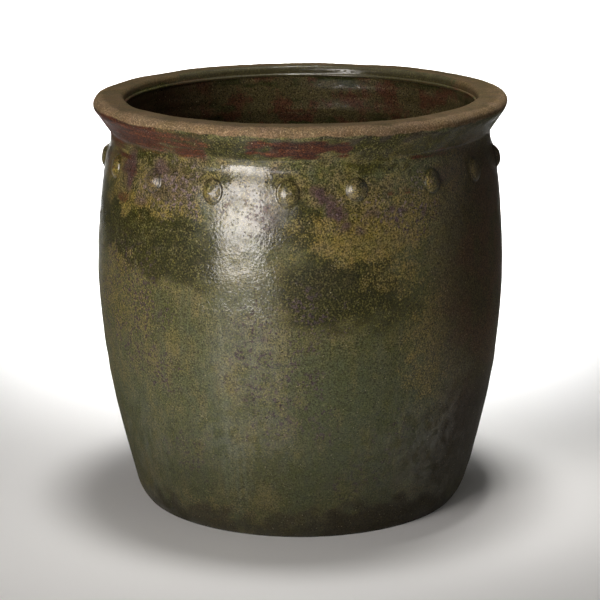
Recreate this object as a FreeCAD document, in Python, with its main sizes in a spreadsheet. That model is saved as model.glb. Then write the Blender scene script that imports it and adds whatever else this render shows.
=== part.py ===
import FreeCAD, Part
import os
import re

import Sketcher

# Ceramic floor planter: a jar thrown and built in courses, which are luted one on another.
# The frame has its origin on the floor, in the middle of the foot, with +Z up and the front at -Y.
# Each course meets the next on a flat seam, with a ridge below that enters a groove above.

# Sizes in millimetres, angles in degrees
SIZES = [
    ("pot_height", 558, "floor to the top of the lip"),
    ("rim_radius", 280, "outermost radius of the lip"),
    ("wall", 16, "thickness of the thrown wall"),
    ("belly_inset", 2.3, "how far the widest place of the body stands inside the lip's edge"),
    ("belly_height", 313.5, "height of the widest place"),
    ("shoulder_arc", 995, "radius of the wall's curve above the belly"),
    ("belly_arc", 668, "radius of the wall's curve below the belly"),
    ("skirt_drop", 72.5, "from the belly down to where the skirt curve takes over"),
    ("skirt_arc", 1294, "radius of the skirt curve"),
    ("floor_thickness", 24, "height of the base slab at the wall"),
    ("foot_arc", 66, "radius of the rounded foot"),
    ("foot_ring_width", 28, "width of the flat ring that the pot rests on"),
    ("foot_recess", 4, "depth of the hollow under the base"),
    ("foot_recess_slope", 6, "run of the recess edge"),
    ("drain_radius", 19, "radius of the drain hole"),
    ("drain_soft_edge", 3, "bevel at the top of the drain hole"),
    ("cove", 20, "radius of the smeared clay where wall and floor meet inside"),
    ("turn_rise", 13, "height of the turn from shoulder to neck"),
    ("turn_arc", 54, "radius of the turn from shoulder to neck"),
    ("neck_rise", 23, "height of the hollow of the neck, up to the crease"),
    ("neck_arc", 40, "radius of the hollow of the neck"),
    ("flare_rise", 29, "height of the flared collar"),
    ("lip_thickness", 16, "height of the lip above its seat"),
    ("lip_underside_arc", 12, "radius from the flare to the outermost edge"),
    ("lip_roll", 7, "radius of the lip's outer edge"),
    ("lip_roll_angle", 60, "how far the outer edge turns, in degrees"),
    ("lip_crown", 22, "radius between the outer edge and the flat top"),
    ("lip_inner_roll", 6, "radius of the lip's inner edge"),
    ("lip_overhang", 1.8, "how far the lip stands inside the throat"),
    ("ridge_width", 6, "width of the ridge in each seam"),
    ("ridge_height", 5, "height of the ridge in each seam"),
    ("ridge_slip", 0.3, "room for slip round each ridge"),
    ("stud_count", 16, "number of studs round the shoulder"),
    ("stud_first_angle", -93.4, "place of the first stud, in degrees from +X"),
    ("stud_drop", 2, "from the turn of the shoulder down to the middle of the studs"),
    ("stud_radius", 14, "radius of a stud"),
    ("stud_stand", 5.5, "how far the middle of a stud stands out of the wall"),
    ("stud_step", 1, "straight edge of a stud outside the wall"),
    ("stud_seat", 3, "depth of the recess that holds a stud"),
    ("stud_slip", 0.3, "room for slip round a stud"),
    ("cut_overrun", 6, "how far a cut runs past the surface"),
]

# The studs were set by eye. One row for each: how far it strays along the ring, as a share of the
# even spacing, and how far it strays up the wall, as a share of the stud radius.
STUD_STRAY_SHARES = [
    (0.0, -0.16),
    (-0.16, 0.05),
    (-0.09, 0.09),
    (-0.21, 0.14),
    (-0.2, 0.11),
    (-0.12, 0.0),
    (-0.05, -0.08),
    (-0.02, 0.06),
    (0.04, 0.04),
    (-0.03, -0.06),
    (0.04, 0.0),
    (0.07, 0.08),
    (0.2, -0.09),
    (0.19, 0.18),
    (0.13, -0.09),
    (0.06, -0.25),
]

doc = FreeCAD.newDocument("ceramic_planter")
sheet = doc.addObject("Spreadsheet::Sheet", "sizes")
for row, (alias, number, note) in enumerate(SIZES, start=1):
    sheet.set(f"A{row}", alias)
    sheet.set(f"B{row}", str(number))
    sheet.set(f"C{row}", note)
    sheet.setAlias(f"B{row}", alias)
doc.recompute()

ALIASES = re.compile(r"\b(" + "|".join(alias for alias, number, note in SIZES) + r")\b")


def bound(formula):
    """A formula on the names of the sheet, as an expression of the document."""
    return ALIASES.sub(r"sizes.\1", formula)


def value(formula):
    """What a formula on the names of the sheet comes to."""
    return float(sheet.evalExpression(bound(formula)))


# Formulas of the wall's curves

def radius_on_arc(centre, arc, height):
    """Radius of an arc about centre (radius, height) at a height."""
    return f"{centre[0]} + sqrt(({arc})^2 - ({height} - ({centre[1]}))^2)"


def next_centre(centre, arc, height, new_arc):
    """Centre of the arc that carries on smoothly from another at a height."""
    rise = f"(({height} - ({centre[1]})) / {arc})"
    run = f"sqrt(1 - {rise}^2)"
    return (f"({centre[0]} + ({arc} - ({new_arc})) * {run})",
            f"({centre[1]} + ({arc} - ({new_arc})) * {rise})")


SEAT_HEIGHT = "(pot_height - lip_thickness)"
CREASE_HEIGHT = f"({SEAT_HEIGHT} - flare_rise)"
NECK_HEIGHT = f"({CREASE_HEIGHT} - neck_rise)"
SHOULDER_HEIGHT = f"({NECK_HEIGHT} - turn_rise)"
SKIRT_HEIGHT = "(belly_height - skirt_drop)"
BELLY_RADIUS = "(rim_radius - belly_inset)"

SHOULDER_CENTRE = (f"({BELLY_RADIUS} - shoulder_arc)", "belly_height")
BELLY_CENTRE = (f"({BELLY_RADIUS} - belly_arc)", "belly_height")
SKIRT_CENTRE = next_centre(BELLY_CENTRE, "belly_arc", SKIRT_HEIGHT, "skirt_arc")
FOOT_CENTRE = next_centre(SKIRT_CENTRE, "skirt_arc", "floor_thickness", "foot_arc")
TURN_CENTRE = next_centre(SHOULDER_CENTRE, "shoulder_arc", SHOULDER_HEIGHT, "turn_arc")
NECK_CENTRE = next_centre(TURN_CENTRE, "turn_arc", NECK_HEIGHT, "-neck_arc")

FOOT_RADIUS = radius_on_arc(FOOT_CENTRE, "foot_arc", "0")
SLAB_RADIUS = radius_on_arc(SKIRT_CENTRE, "skirt_arc", "floor_thickness")
SKIRT_RADIUS = radius_on_arc(BELLY_CENTRE, "belly_arc", SKIRT_HEIGHT)
SHOULDER_RADIUS = radius_on_arc(SHOULDER_CENTRE, "shoulder_arc", SHOULDER_HEIGHT)
NECK_RADIUS = radius_on_arc(TURN_CENTRE, "turn_arc", NECK_HEIGHT)
CREASE_RADIUS = f"{NECK_CENTRE[0]} - sqrt(neck_arc^2 - ({CREASE_HEIGHT} - {NECK_CENTRE[1]})^2)"

COVE_TOP = "(floor_thickness + cove)"
COVE_RADIUS = radius_on_arc(SKIRT_CENTRE, "(skirt_arc - wall)", COVE_TOP)
INNER_SKIRT_RADIUS = radius_on_arc(BELLY_CENTRE, "(belly_arc - wall)", SKIRT_HEIGHT)
INNER_SHOULDER_RADIUS = radius_on_arc(SHOULDER_CENTRE, "(shoulder_arc - wall)", SHOULDER_HEIGHT)
THROAT_RADIUS = f"({NECK_CENTRE[0]} - neck_arc - wall)"

EDGE_HEIGHT = "(pot_height - lip_roll * sin(lip_roll_angle) - lip_crown * (1 - sin(lip_roll_angle)))"
SEAT_RADIUS = radius_on_arc(("(rim_radius - lip_underside_arc)", EDGE_HEIGHT),
                            "lip_underside_arc", SEAT_HEIGHT)
ROLL_RADIUS = "(rim_radius - lip_roll + lip_roll * cos(lip_roll_angle))"
ROLL_HEIGHT = f"({EDGE_HEIGHT} + lip_roll * sin(lip_roll_angle))"
CROWN_RADIUS = f"({ROLL_RADIUS} - lip_crown * cos(lip_roll_angle))"
LIP_BORE = f"({THROAT_RADIUS} - lip_overhang)"

# Middle of the wall at each seam, where the ridges run
FLOOR_RIDGE = f"({SLAB_RADIUS} - wall / 2)"
BELLY_RIDGE = f"({BELLY_RADIUS} - wall / 2)"
NECK_RIDGE = f"(({CREASE_RADIUS} + {THROAT_RADIUS}) / 2)"
SEAT_RIDGE = f"(({SEAT_RADIUS} + {LIP_BORE}) / 2)"


# Sketches and features

def origin_plane(body, role):
    for feature in body.Origin.OriginFeatures:
        if feature.Role == role:
            return feature
    raise RuntimeError(f"{body.Label} has no {role}")


def arc_centre(start, end, radius, bulge):
    """Centre of an arc from start to end that bulges to the left (1) or right (-1) of the way."""
    chord = end - start
    middle = start + chord * 0.5
    sideways = FreeCAD.Vector(-chord.y, chord.x, 0).normalize()
    sagitta_leg = (radius ** 2 - (chord.Length / 2) ** 2) ** 0.5
    return middle - sideways * bulge * sagitta_leg


def outline(sketch, corners, edges):
    """Closed outline. A corner is (name, across, up), and an edge is None for a straight one or
    (radius, bulge) for an arc of less than a half circle. Corners and radii are formulas."""
    places = [FreeCAD.Vector(value(across), value(up), 0) for name, across, up in corners]
    ends = []
    for index, edge in enumerate(edges):
        start = places[index]
        end = places[(index + 1) % len(places)]
        if edge is None:
            geometry = sketch.addGeometry(Part.LineSegment(start, end), False)
            ends.append((geometry, 1, 2))
            continue
        formula, bulge = edge
        radius = value(formula)
        centre = arc_centre(start, end, radius, bulge)
        first, last = (end, start) if bulge > 0 else (start, end)
        x_axis = FreeCAD.Vector(1, 0, 0)
        first_angle = angle_of(first - centre, x_axis)
        last_angle = angle_of(last - centre, x_axis)
        circle = Part.Circle(centre, FreeCAD.Vector(0, 0, 1), radius)
        geometry = sketch.addGeometry(Part.ArcOfCircle(circle, first_angle, last_angle), False)
        ends.append((geometry, 2, 1) if bulge > 0 else (geometry, 1, 2))
        number = sketch.addConstraint(Sketcher.Constraint("Radius", geometry, radius))
        name_and_bind(sketch, number, f"{corners[index][0]}_arc", formula)
    for index, (name, across, up) in enumerate(corners):
        geometry, start, end = ends[index]
        before, before_start, before_end = ends[index - 1]
        sketch.addConstraint(Sketcher.Constraint("Coincident", before, before_end, geometry, start))
        for kind, axis, formula, place in (("DistanceX", -2, across, places[index].x),
                                           ("DistanceY", -1, up, places[index].y)):
            if formula == "0":
                sketch.addConstraint(Sketcher.Constraint("PointOnObject", geometry, start, axis))
                continue
            number = sketch.addConstraint(Sketcher.Constraint(kind, -1, 1, geometry, start, place))
            name_and_bind(sketch, number, f"{name}_{'across' if kind == 'DistanceX' else 'up'}", formula)


def angle_of(ray, x_axis):
    angle = x_axis.getAngle(ray)
    return angle if ray.y >= 0 else -angle


def name_and_bind(sketch, number, name, formula):
    sketch.renameConstraint(number, name)
    sketch.setExpression(f"Constraints.{name}", bound(formula))


def new_body(name):
    body = doc.addObject("PartDesign::Body", name)
    body.Label = name
    body.Placement = FreeCAD.Placement()
    return body


def new_sketch(body, name, turn=None):
    """Upright sketch through the pot's axis. turn is a formula for degrees about that axis."""
    sketch = body.newObject("Sketcher::SketchObject", name)
    sketch.AttachmentSupport = [(origin_plane(body, "XZ_Plane"), "")]
    sketch.MapMode = "FlatFace"
    if turn is not None:
        upward = FreeCAD.Vector(0, 1, 0)
        sketch.AttachmentOffset = FreeCAD.Placement(FreeCAD.Vector(), FreeCAD.Rotation(upward, value(turn)))
        sketch.setExpression("AttachmentOffset.Rotation.Angle", bound(turn))
    return sketch


def turned_ring(name, corners, edges):
    """A course of the pot: its section, revolved about the pot's axis."""
    body = new_body(name)
    section = new_sketch(body, f"{name}_section")
    outline(section, corners, edges)
    turned = body.newObject("PartDesign::Revolution", f"{name}_turned")
    turned.Profile = section
    turned.ReferenceAxis = (section, ["V_Axis"])
    turned.Angle = 360
    section.Visibility = False
    return body


def ridge(name, middle, seam):
    """Corners of a ridge on top of a seam, from outside in."""
    return [(f"{name}_outer_foot", f"{middle} + ridge_width / 2", seam),
            (f"{name}_outer_top", f"{middle} + ridge_width / 2", f"{seam} + ridge_height"),
            (f"{name}_inner_top", f"{middle} - ridge_width / 2", f"{seam} + ridge_height"),
            (f"{name}_inner_foot", f"{middle} - ridge_width / 2", seam)]


def groove(name, middle, seam):
    """Corners of the groove that a ridge enters, from inside out."""
    half = "(ridge_width / 2 + ridge_slip)"
    return [(f"{name}_inner_mouth", f"{middle} - {half}", seam),
            (f"{name}_inner_roof", f"{middle} - {half}", f"{seam} + ridge_height + ridge_slip"),
            (f"{name}_outer_roof", f"{middle} + {half}", f"{seam} + ridge_height + ridge_slip"),
            (f"{name}_outer_mouth", f"{middle} + {half}", seam)]


# Base slab, with the foot ring, the hollow under it and the drain hole

floor_slab = turned_ring(
    "floor_slab",
    [("foot", FOOT_RADIUS, "0"),
     ("seam", SLAB_RADIUS, "floor_thickness"),
     *ridge("ridge", FLOOR_RIDGE, "floor_thickness"),
     ("drain_bevel", "drain_radius + drain_soft_edge", "floor_thickness"),
     ("drain_top", "drain_radius", "floor_thickness - drain_soft_edge"),
     ("drain_bottom", "drain_radius", "foot_recess"),
     ("recess_roof", f"{FOOT_RADIUS} - foot_ring_width - foot_recess_slope", "foot_recess"),
     ("recess_edge", f"{FOOT_RADIUS} - foot_ring_width", "0")],
    [("foot_arc", -1)] + [None] * 10)

# Lower course, from the slab to the widest place

lower_wall = turned_ring(
    "lower_wall",
    [("seam", SLAB_RADIUS, "floor_thickness"),
     ("skirt", SKIRT_RADIUS, SKIRT_HEIGHT),
     ("belly", BELLY_RADIUS, "belly_height"),
     *ridge("ridge", BELLY_RIDGE, "belly_height"),
     ("inner_belly", f"{BELLY_RADIUS} - wall", "belly_height"),
     ("inner_skirt", INNER_SKIRT_RADIUS, SKIRT_HEIGHT),
     ("cove_top", COVE_RADIUS, COVE_TOP),
     ("cove_toe", f"{COVE_RADIUS} - cove", "floor_thickness"),
     *groove("groove", FLOOR_RIDGE, "floor_thickness")],
    [("skirt_arc", -1), ("belly_arc", -1)] + [None] * 5
    + [("belly_arc - wall", 1), ("skirt_arc - wall", 1), ("cove", 1)] + [None] * 5)

# Upper course, from the widest place over the shoulder to the crease of the neck

upper_wall = turned_ring(
    "upper_wall",
    [("belly", BELLY_RADIUS, "belly_height"),
     ("shoulder", SHOULDER_RADIUS, SHOULDER_HEIGHT),
     ("neck", NECK_RADIUS, NECK_HEIGHT),
     ("crease", CREASE_RADIUS, CREASE_HEIGHT),
     *ridge("ridge", NECK_RIDGE, CREASE_HEIGHT),
     ("throat_top", THROAT_RADIUS, CREASE_HEIGHT),
     ("throat_foot", THROAT_RADIUS, NECK_HEIGHT),
     ("inner_shoulder", INNER_SHOULDER_RADIUS, SHOULDER_HEIGHT),
     ("inner_belly", f"{BELLY_RADIUS} - wall", "belly_height"),
     *groove("groove", BELLY_RIDGE, "belly_height")],
    [("shoulder_arc", -1), ("turn_arc", -1), ("neck_arc", 1)] + [None] * 7
    + [("shoulder_arc - wall", 1)] + [None] * 5)

# Flared collar under the lip

flared_collar = turned_ring(
    "flared_collar",
    [("crease", CREASE_RADIUS, CREASE_HEIGHT),
     ("seat", SEAT_RADIUS, SEAT_HEIGHT),
     *ridge("ridge", SEAT_RIDGE, SEAT_HEIGHT),
     ("throat_top", THROAT_RADIUS, SEAT_HEIGHT),
     ("throat_foot", THROAT_RADIUS, CREASE_HEIGHT),
     *groove("groove", NECK_RIDGE, CREASE_HEIGHT)],
    [None] * 12)

# Thick lip, laid on as a coil and left unglazed

rim_lip = turned_ring(
    "rim_lip",
    [("seat", SEAT_RADIUS, SEAT_HEIGHT),
     ("edge", "rim_radius", EDGE_HEIGHT),
     ("roll", ROLL_RADIUS, ROLL_HEIGHT),
     ("crown", CROWN_RADIUS, "pot_height"),
     ("inner_top", f"{LIP_BORE} + lip_inner_roll", "pot_height"),
     ("inner_edge", LIP_BORE, "pot_height - lip_inner_roll"),
     ("inner_seat", LIP_BORE, SEAT_HEIGHT),
     *groove("groove", SEAT_RIDGE, SEAT_HEIGHT)],
    [("lip_underside_arc", -1), ("lip_roll", -1), ("lip_crown", -1), None, ("lip_inner_roll", -1)]
    + [None] * 6)


# Studs, each luted into a shallow round recess in the shoulder

def stray_shares(index):
    return STUD_STRAY_SHARES[index % len(STUD_STRAY_SHARES)]


def stud_turn(index):
    along_share = stray_shares(index)[0]
    return f"(stud_first_angle + ({index} + {along_share}) * 360 / stud_count)"


def on_shoulder(index, outward, upward):
    """Formulas for a place given along the wall's outward direction at a stud and up the wall."""
    up_share = stray_shares(index)[1]
    height = f"({SHOULDER_HEIGHT} - stud_drop + stud_radius * {up_share})"
    rise = f"(({height} - belly_height) / shoulder_arc)"
    run = f"sqrt(1 - {rise}^2)"
    across = f"{SHOULDER_CENTRE[0]} + (shoulder_arc + {outward}) * {run} - {upward} * {rise}"
    up = f"{height} + {outward} * {rise} + {upward} * {run}"
    return across, up


def turned_about_stud(body, name, kind, section, start, end):
    """Turns a section about the middle line of a stud, from start to end."""
    line = Part.LineSegment(*[FreeCAD.Vector(value(across), value(up), 0) for across, up in (start, end)])
    axis = section.addGeometry(line, True)
    for point, (across, up) in ((1, start), (2, end)):
        for direction, formula in (("DistanceX", across), ("DistanceY", up)):
            constraint = Sketcher.Constraint(direction, -1, 1, axis, point, value(formula))
            number = section.addConstraint(constraint)
            name_and_bind(section, number, f"axis_{direction}_{point}", formula)
    feature = body.newObject(kind, name)
    feature.Profile = section
    feature.ReferenceAxis = (section, ["Axis0"])
    feature.Angle = 360
    section.Visibility = False
    return feature


def make_stud(index):
    name = f"stud_{index + 1:02d}"
    body = new_body(name)
    section = new_sketch(body, f"{name}_section")
    dome = "((stud_radius^2 + (stud_stand - stud_step)^2) / (2 * (stud_stand - stud_step)))"
    outline(section,
            [("back", *on_shoulder(index, "(-stud_seat)", "0")),
             ("back_edge", *on_shoulder(index, "(-stud_seat)", "stud_radius")),
             ("step", *on_shoulder(index, "stud_step", "stud_radius")),
             ("crown", *on_shoulder(index, "stud_stand", "0"))],
            [None, None, (dome, 1), None])
    turned_about_stud(body, f"{name}_turned", "PartDesign::Revolution", section,
                      on_shoulder(index, "(-stud_seat)", "0"), on_shoulder(index, "stud_stand", "0"))
    upright = FreeCAD.Vector(0, 0, 1)
    body.Placement = FreeCAD.Placement(FreeCAD.Vector(), FreeCAD.Rotation(upright, value(stud_turn(index))))
    body.setExpression("Placement.Rotation.Angle", bound(stud_turn(index)))
    return body


def cut_recess(index):
    name = f"recess_{index + 1:02d}"
    section = new_sketch(upper_wall, f"{name}_section", stud_turn(index))
    reach = "(stud_radius + stud_slip)"
    outline(section,
            [("floor", *on_shoulder(index, "(-stud_seat)", "0")),
             ("floor_edge", *on_shoulder(index, "(-stud_seat)", reach)),
             ("mouth_edge", *on_shoulder(index, "cut_overrun", reach)),
             ("mouth", *on_shoulder(index, "cut_overrun", "0"))],
            [None] * 4)
    turned_about_stud(upper_wall, name, "PartDesign::Groove", section,
                      on_shoulder(index, "(-stud_seat)", "0"), on_shoulder(index, "cut_overrun", "0"))


doc.recompute()
volume_before = upper_wall.Shape.Volume
number_of_studs = int(value("stud_count"))
studs = []
for index in range(number_of_studs):
    cut_recess(index)
    studs.append(make_stud(index))
doc.recompute()

# Checks, then one STEP file for each piece

recess_volume = (volume_before - upper_wall.Shape.Volume) / number_of_studs
if not 0 < recess_volume < value("pi * (stud_radius + stud_slip)^2 * (stud_seat + cut_overrun)"):
    raise RuntimeError(f"a stud recess takes {recess_volume} cubic millimetres from the wall")
for item in doc.Objects:
    if "Invalid" in item.State or "Error" in item.State:
        raise RuntimeError(f"{item.Label} failed: {item.State}")
pieces = [floor_slab, lower_wall, upper_wall, flared_collar, rim_lip, *studs]
for piece in pieces:
    if piece.Shape.isNull() or not piece.Shape.isValid() or len(piece.Shape.Solids) != 1:
        raise RuntimeError(f"{piece.Label} is not one valid solid")

os.makedirs("parts", exist_ok=True)
for piece in pieces:
    piece.Shape.exportStep(f"parts/{piece.Label}.step")
    box = piece.Shape.BoundBox
    print(f"{piece.Label}: {piece.Shape.Volume / 1000:.1f} cm3, z {box.ZMin:.1f} to {box.ZMax:.1f},"
          f" reach {box.XMax:.1f}")
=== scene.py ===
import itertools
import math

import bpy
import numpy as np
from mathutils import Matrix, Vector


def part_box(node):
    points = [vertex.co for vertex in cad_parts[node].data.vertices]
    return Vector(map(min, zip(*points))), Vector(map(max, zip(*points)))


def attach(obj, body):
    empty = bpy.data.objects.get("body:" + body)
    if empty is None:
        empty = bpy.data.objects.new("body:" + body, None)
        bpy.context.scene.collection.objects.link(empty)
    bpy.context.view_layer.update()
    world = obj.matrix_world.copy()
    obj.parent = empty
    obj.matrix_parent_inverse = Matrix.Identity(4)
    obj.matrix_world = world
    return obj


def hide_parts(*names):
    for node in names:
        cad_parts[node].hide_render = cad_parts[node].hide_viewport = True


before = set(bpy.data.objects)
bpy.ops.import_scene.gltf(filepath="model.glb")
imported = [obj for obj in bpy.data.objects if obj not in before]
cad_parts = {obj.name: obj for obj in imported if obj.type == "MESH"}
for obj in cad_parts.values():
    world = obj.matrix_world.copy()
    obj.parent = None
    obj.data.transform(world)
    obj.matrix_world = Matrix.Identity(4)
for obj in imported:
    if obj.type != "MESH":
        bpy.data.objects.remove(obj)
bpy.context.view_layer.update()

# Ceramic floor planter: the glazed skin, the bare clay lip and the studs, built round the imported courses.
# Lengths are in metres, and angles in radians where no name or comment says degrees.
# Azimuth is 0 at the front (-Y) and grows to the right, towards +X.


# Heights and radii that the imported parts give

FLOOR_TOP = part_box("lower_wall")[0].z
BELLY_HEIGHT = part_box("upper_wall")[0].z
CREASE_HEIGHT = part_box("flared_collar")[0].z
SEAT_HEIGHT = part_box("rim_lip")[0].z
POT_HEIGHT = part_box("rim_lip")[1].z
RIM_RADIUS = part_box("rim_lip")[1].x
BELLY_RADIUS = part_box("lower_wall")[1].x

# Curves of the wall, as the courses have them

WALL = 0.016
SHOULDER_ARC = 0.995
BELLY_ARC = 0.668
SKIRT_ARC = 1.294
FOOT_ARC = 0.066
TURN_ARC = 0.054
NECK_ARC = 0.04
SKIRT_HEIGHT = BELLY_HEIGHT - 0.0725
NECK_HEIGHT = CREASE_HEIGHT - 0.023
SHOULDER_HEIGHT = NECK_HEIGHT - 0.013
LIP_UNDERSIDE_ARC = 0.012
LIP_ROLL = 0.007
LIP_ROLL_ANGLE = math.radians(60)
LIP_CROWN = 0.022
LIP_INNER_ROLL = 0.006
LIP_OVERHANG = 0.0018
LIP_BEAD = 0.0022
LIP_EDGE_WEAR = 0.0015
COVE = 0.02
DRAIN_RADIUS = 0.019
DRAIN_SOFT_EDGE = 0.003
FOOT_RECESS = 0.004
FOOT_RECESS_SLOPE = 0.006
FOOT_RING_WIDTH = 0.028
RIDGE_WIDTH = 0.006
RIDGE_HEIGHT = 0.005
RIDGE_SLIP = 0.0003

# How finely the skin is divided

COLUMNS = 640
LOWER_ROW = 0.0028
UPPER_ROW = 0.0025
LIP_ROW = 0.0015
BEAD_ROW = 0.0006
INNER_ROW = 0.009
THROAT_ROW = 0.005


def arc_rows(start, arcs, row):
    """Points of arcs that carry on from each other and start upright, each arc's without its first.
    An arc has its radius, negative for a hollow curve, and the height where it ends."""
    runs, lean = [], 0.0
    for radius, end_height in arcs:
        centre = start - radius * np.array([math.cos(lean), math.sin(lean)])
        end_lean = math.asin((end_height - centre[1]) / radius)
        steps = max(2, math.ceil(abs(radius * (end_lean - lean)) / row))
        leans = np.linspace(lean, end_lean, steps + 1)[1:]
        runs.append(centre + radius * np.stack([np.cos(leans), np.sin(leans)], 1))
        start, lean = runs[-1][-1], end_lean
    return runs


def turn_rows(centre, radius, first, last, row):
    """Points round a centre from one angle to another, without the first."""
    steps = max(3, math.ceil(abs(radius * (last - first)) / row))
    angles = np.linspace(first, last, steps + 1)[1:]
    return np.array(centre) + radius * np.stack([np.cos(angles), np.sin(angles)], 1)


def line_rows(start, *ends):
    """Points of straight runs from a start to each end in turn, without the start. After each end comes
    the length of its rows."""
    runs = []
    for end, row in zip(ends[::2], ends[1::2]):
        steps = max(1, math.ceil(np.hypot(*(np.array(end) - start)) / row))
        shares = np.linspace(0, 1, steps + 1)[1:, None]
        runs.append(np.array(start) + shares * (np.array(end) - start))
        start = end
    return np.concatenate(runs)


# Outline of everything that shows, from the foot up the outside, over the lip and down the inside

belly = np.array([BELLY_RADIUS, BELLY_HEIGHT])
belly_down, skirt_down, foot_down = arc_rows(
    belly, [(BELLY_ARC, SKIRT_HEIGHT), (SKIRT_ARC, FLOOR_TOP), (FOOT_ARC, 0.0)], LOWER_ROW)
shoulder_up, turn_up, neck_up = arc_rows(
    belly, [(SHOULDER_ARC, SHOULDER_HEIGHT), (TURN_ARC, NECK_HEIGHT), (-NECK_ARC, CREASE_HEIGHT)],
    UPPER_ROW)

THROAT_RADIUS = float(neck_up[:, 0].min()) - WALL
LIP_BORE = THROAT_RADIUS - LIP_OVERHANG
EDGE_HEIGHT = POT_HEIGHT - LIP_ROLL * math.sin(LIP_ROLL_ANGLE) - LIP_CROWN * (1 - math.sin(LIP_ROLL_ANGLE))
SEAT_LEAN = math.asin((SEAT_HEIGHT - EDGE_HEIGHT) / LIP_UNDERSIDE_ARC)
SEAT_RADIUS = RIM_RADIUS - LIP_UNDERSIDE_ARC * (1 - math.cos(SEAT_LEAN))
CROWN_RADIUS = RIM_RADIUS - LIP_ROLL + (LIP_ROLL - LIP_CROWN) * math.cos(LIP_ROLL_ANGLE)
FOOT_RADIUS = float(foot_down[-1][0])

flare_up = line_rows(neck_up[-1], (SEAT_RADIUS, SEAT_HEIGHT), UPPER_ROW)
lip_over = np.concatenate([
    turn_rows((RIM_RADIUS - LIP_UNDERSIDE_ARC, EDGE_HEIGHT), LIP_UNDERSIDE_ARC, SEAT_LEAN, 0.0, LIP_ROW),
    turn_rows((RIM_RADIUS - LIP_ROLL, EDGE_HEIGHT), LIP_ROLL, 0.0, LIP_ROLL_ANGLE, LIP_ROW),
    turn_rows((CROWN_RADIUS, POT_HEIGHT - LIP_CROWN), LIP_CROWN, LIP_ROLL_ANGLE, math.pi / 2, LIP_ROW),
    line_rows((CROWN_RADIUS, POT_HEIGHT), (LIP_BORE + LIP_INNER_ROLL, POT_HEIGHT), LIP_ROW),
    turn_rows((LIP_BORE + LIP_INNER_ROLL, POT_HEIGHT - LIP_INNER_ROLL), LIP_INNER_ROLL,
              math.pi / 2, math.pi, LIP_ROW),
    line_rows((LIP_BORE, POT_HEIGHT - LIP_INNER_ROLL), (LIP_BORE, SEAT_HEIGHT + 2 * LIP_BEAD), LIP_ROW),
    turn_rows((LIP_BORE, SEAT_HEIGHT + LIP_BEAD), LIP_BEAD, math.pi / 2, math.pi * 3 / 2, BEAD_ROW)])

inner_belly = np.array([BELLY_RADIUS - WALL, BELLY_HEIGHT])
inner_skirt_down, wall_down = arc_rows(
    inner_belly, [(BELLY_ARC - WALL, SKIRT_HEIGHT), (SKIRT_ARC - WALL, FLOOR_TOP + COVE)], INNER_ROW)
cove_down = turn_rows(wall_down[-1] - (COVE, 0), COVE, 0.0, -math.pi / 2, THROAT_ROW)
inner_shoulder_up, = arc_rows(inner_belly, [(SHOULDER_ARC - WALL, SHOULDER_HEIGHT)], INNER_ROW)
throat_down = line_rows((THROAT_RADIUS, SEAT_HEIGHT), (THROAT_RADIUS, CREASE_HEIGHT), THROAT_ROW)
inner_neck_down = np.concatenate([
    line_rows((THROAT_RADIUS, CREASE_HEIGHT), (THROAT_RADIUS, NECK_HEIGHT), THROAT_ROW,
              inner_shoulder_up[-1], THROAT_ROW),
    inner_shoulder_up[-2::-1],
    [inner_belly]])
inner_lower_down = np.concatenate([inner_skirt_down, wall_down, cove_down])
recess_radius = FOOT_RADIUS - FOOT_RING_WIDTH
floor_in = line_rows(
    cove_down[-1],
    (DRAIN_RADIUS + DRAIN_SOFT_EDGE, FLOOR_TOP), INNER_ROW,
    (DRAIN_RADIUS, FLOOR_TOP - DRAIN_SOFT_EDGE), LIP_ROW,
    (DRAIN_RADIUS, FOOT_RECESS), THROAT_ROW,
    (recess_radius - FOOT_RECESS_SLOPE, FOOT_RECESS), INNER_ROW,
    (recess_radius, 0.0), LIP_ROW,
    (FOOT_RADIUS, 0.0), THROAT_ROW)

STRETCHES = [
    ("foot", foot_down[::-1]),
    ("foot_seam", skirt_down[-1:]),
    ("lower", np.concatenate([skirt_down[-2::-1], belly_down[::-1]])),
    ("belly_seam", belly[None]),
    ("upper", np.concatenate([shoulder_up, turn_up, neck_up[:-1]])),
    ("neck_seam", neck_up[-1:]),
    ("flare", flare_up[:-1]),
    ("lip_seam", flare_up[-1:]),
    ("lip", lip_over),
    ("throat_seam", np.array([[THROAT_RADIUS, SEAT_HEIGHT]])),
    ("throat", throat_down),
    ("inner_upper", inner_neck_down),
    ("inner_lower", inner_lower_down),
    ("floor", floor_in[:-1]),
]
outline = np.concatenate([points for name, points in STRETCHES])

# First and last row of each stretch of the outline
ends = np.cumsum([len(points) for name, points in STRETCHES])
ROWS = {name: (end - len(points), end - 1) for (name, points), end in zip(STRETCHES, ends)}


# Smooth random relief and stains that close round the pot

def random_field(seed, waves, shortest_round, shortest_up):
    """A smooth field over the skin with a spread of about 1. The shortest waves are in metres."""
    dice = np.random.default_rng(seed)
    most_round = max(1, round(2 * math.pi * BELLY_RADIUS / shortest_round))
    round_counts = dice.integers(-most_round, most_round + 1, waves)
    up_rates = dice.uniform(-1, 1, waves) * 2 * math.pi / shortest_up
    phases = dice.uniform(0, 2 * math.pi, waves)

    def field(azimuth, height):
        total = np.zeros_like(azimuth + height)
        for count, rate, phase in zip(round_counts, up_rates, phases):
            total += np.cos(count * azimuth + rate * height + phase)
        return total * math.sqrt(2 / waves)
    return field


dents = random_field(11, 40, 0.16, 0.12)
throwing = random_field(12, 14, 1.2, 0.036)
lumps = random_field(13, 60, 0.022, 0.022)
inner_rings = random_field(14, 16, 0.9, 0.016)
lip_waves = random_field(15, 40, 0.1, 0.05)
lip_grain = random_field(16, 90, 0.009, 0.009)
stain_round = random_field(17, 60, 0.024, 0.024)
stain_up = random_field(18, 60, 0.034, 0.02)

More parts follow.
